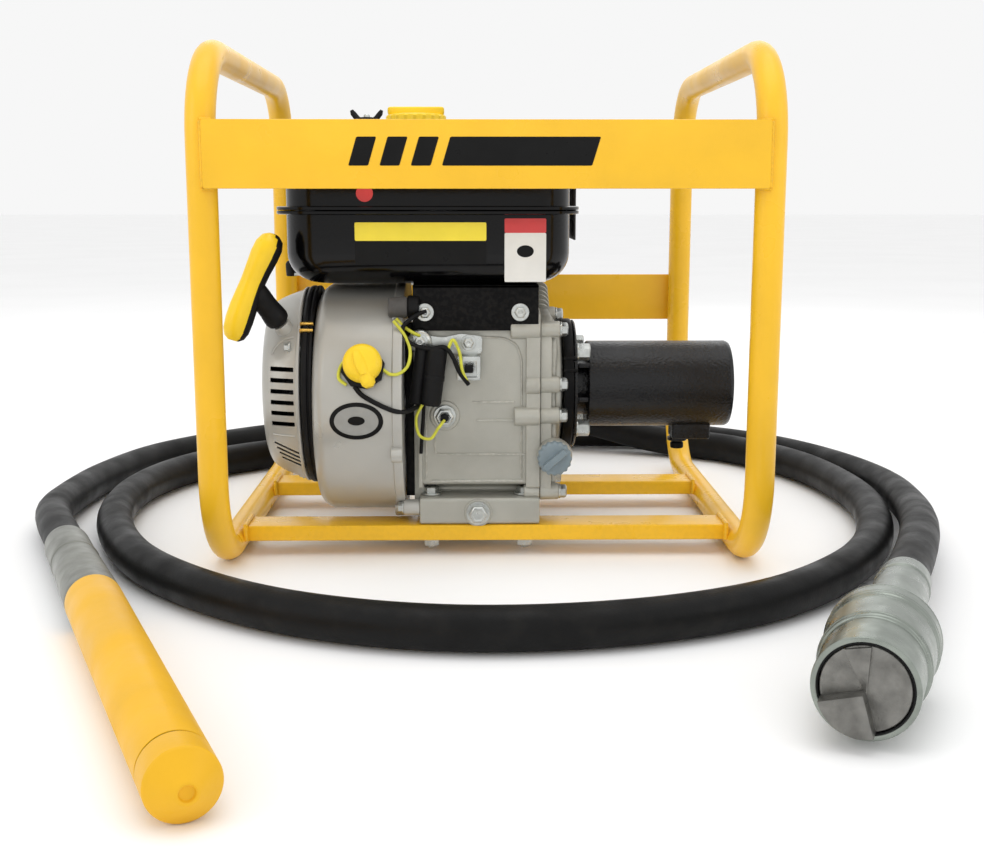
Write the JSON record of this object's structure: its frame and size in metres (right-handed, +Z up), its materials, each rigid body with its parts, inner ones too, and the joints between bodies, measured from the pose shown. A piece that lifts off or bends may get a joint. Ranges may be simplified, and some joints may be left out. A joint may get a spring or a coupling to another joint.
{
  "type": "concrete vibrator",
  "caption": "Petrol-engine concrete vibrator in a yellow tube frame, with a coiled flexible drive hose, bayonet coupling and poker head lying on the ground.",
  "frame": {"origin": "on the ground, under the middle of the tube frame", "axes": "+X towards the drive end of the engine, +Y towards the back of the frame (the air cleaner and muffler side), +Z up"},
  "size_m": [0.7815, 0.9589, 0.4],
  "materials": {
    "frame_paint": "yellow enamel over steel tube and strip, semi-gloss, scuffed where it is handled",
    "head_paint": "yellow enamel over steel tube, semi-gloss",
    "engine_castings": "die-cast, satin champagne-grey paint on the outside",
    "engine_sheet": "pressed sheet, satin champagne-grey paint",
    "black_paint": "black enamel, gloss on the tank and orange-peel on the coupling tube",
    "black_plastic": "moulded, fine grain",
    "yellow_plastic": "moulded, lightly glossed",
    "zinc_plate": "zinc-plated, slightly milky",
    "plain_steel": "machined and oiled, dull",
    "cap_grey": "moulded, blue-grey",
    "hose_rubber": "black rubber cover, dull sheen",
    "filter_foam": "pleated filter paper, matte"
  },
  "bodies": {
    "machine": {"frame_hoop_left": "frame_paint", "frame_hoop_right": "frame_paint", "front_panel": "frame_paint", "rear_panel": "frame_paint", "front_rail": "frame_paint", "rear_rail": "frame_paint", "crankcase": "engine_castings", "side_cover": "engine_castings", "piston": "engine_castings", "connecting_rod": "engine_castings", "cylinder_head": "engine_castings", "rocker_cover": "black_paint", "spark_plug": "plain_steel", "spark_plug_cap": "black_plastic", "fan_shroud": "engine_sheet", "recoil_ring": "black_plastic", "recoil_housing": "engine_sheet", "fuel_tank_lower": "black_paint", "fuel_tank_upper": "black_paint", "tank_bracket": "black_paint", "air_cleaner_base": "black_plastic", "air_cleaner_cover": "black_plastic", "air_filter_element": "filter_foam", "carburettor": "engine_castings", "control_plate": "zinc_plate", "muffler": "plain_steel", "muffler_guard": "black_paint", "switch_body": "black_plastic", "oil_alert_unit": "black_plastic", "wiring_bracket": "zinc_plate", "oil_level_sensor": "zinc_plate", "oil_drain_bolt": "zinc_plate", "adapter_flange": "black_paint", "coupling_housing": "black_paint", "mount_bolt_front_left": "zinc_plate", "mount_bolt_front_right": "zinc_plate", "mount_bolt_rear_left": "zinc_plate", "mount_bolt_rear_right": "zinc_plate", "hose": "hose_rubber", "flexible_shaft": "plain_steel", "coupling_body": "zinc_plate", "head_ferrule": "zinc_plate", "head_tube": "head_paint", "head_tip": "head_paint"},
    "crank": {"crankshaft": "plain_steel", "flywheel_fan": "engine_castings", "drive_dog": "plain_steel"},
    "cam": {"camshaft": "plain_steel"},
    "starter_grip": {"starter_handle": "yellow_plastic"},
    "starter_pulley": {"recoil_pulley": "black_plastic"},
    "tank_cap": {"fuel_cap": "yellow_plastic"},
    "dipstick_cap": {"oil_filler_cap": "cap_grey"},
    "choke": {"choke_lever": "black_plastic"},
    "fuel_valve": {"fuel_valve_lever": "black_plastic"},
    "throttle": {"throttle_lever": "zinc_plate"},
    "switch": {"switch_knob": "yellow_plastic"},
    "coupling_lock": {"lock_pin": "plain_steel"},
    "air_cleaner_nut": {"air_cleaner_wing_nut": "black_plastic"},
    "hose_dog": {"coupling_dog": "plain_steel"},
    "eccentric": {"eccentric_rotor": "plain_steel"}
  },
  "joints": [
    {"name": "crankshaft_spin", "type": "hinge", "parent": "machine", "child": "crank", "pos_m": [0, -0.079, 0.131], "axis": [1, 0, 0], "continuous": true},
    {"name": "camshaft_spin", "type": "hinge", "parent": "machine", "child": "cam", "pos_m": [0, -0.051, 0.0845], "axis": [1, 0, 0], "continuous": true},
    {"name": "starter_pull", "type": "slide", "parent": "machine", "child": "starter_grip", "axis": [-0.4892, -0.4193, 0.7648], "range_m": [0, 0.45], "stiffness_N_per_m": 30, "springref_m": -0.2},
    {"name": "recoil_pulley_turn", "type": "hinge", "parent": "machine", "child": "starter_pulley", "pos_m": [-0.166, -0.079, 0.131], "axis": [1, 0, 0], "range_deg": [0, 660]},
    {"name": "fuel_cap_turn", "type": "hinge", "parent": "machine", "child": "tank_cap", "pos_m": [-0.0575, -0.04, 0.345], "axis": [0, 0, 1], "range_deg": [0, 90]},
    {"name": "oil_filler_cap_turn", "type": "hinge", "parent": "machine", "child": "dipstick_cap", "pos_m": [0.054, -0.1402, 0.08], "axis": [0, -1, 0], "range_deg": [0, 720]},
    {"name": "choke_lever_turn", "type": "hinge", "parent": "machine", "child": "choke", "pos_m": [-0.074, 0.061, 0.254], "axis": [1, 0, 0], "range_deg": [-40, 0]},
    {"name": "fuel_valve_lever_turn", "type": "hinge", "parent": "machine", "child": "fuel_valve", "pos_m": [-0.074, 0.061, 0.236], "axis": [1, 0, 0], "range_deg": [-40, 0]},
    {"name": "throttle_lever_turn", "type": "hinge", "parent": "machine", "child": "throttle", "pos_m": [-0.126, 0.059, 0.214], "axis": [0, 0, 1], "range_deg": [0, 35]},
    {"name": "switch_knob_turn", "type": "hinge", "parent": "machine", "child": "switch", "pos_m": [-0.0946, -0.1654, 0.155], "axis": [0, -0.9287, 0.3709], "range_deg": [0, 60]},
    {"name": "lock_pin_pull", "type": "slide", "parent": "machine", "child": "coupling_lock", "axis": [0, 0, -1], "range_m": [0, 0.008], "stiffness_N_per_m": 900, "springref_m": -0.004},
    {"name": "air_cleaner_nut_turn", "type": "hinge", "parent": "machine", "child": "air_cleaner_nut", "pos_m": [-0.112, 0.13, 0.355], "axis": [0, 0, 1], "range_deg": [0, 720]},
    {"name": "coupling_dog_spin", "type": "hinge", "parent": "machine", "child": "hose_dog", "pos_m": [0.1926, -0.519, 0.033], "axis": [0.3969, 0.9178, 0], "continuous": true},
    {"name": "eccentric_rotor_spin", "type": "hinge", "parent": "machine", "child": "eccentric", "pos_m": [-0.3483, -0.1217, 0.019], "axis": [0.3958, -0.9184, 0], "continuous": true}
  ],
  "couplings": [
    {"joint": "camshaft_spin", "follows": "crankshaft_spin", "ratio": -0.5},
    {"joint": "recoil_pulley_turn", "follows": "starter_pull", "rad_per_m": 25},
    {"joint": "eccentric_rotor_spin", "follows": "coupling_dog_spin", "ratio": 1}
  ]
}
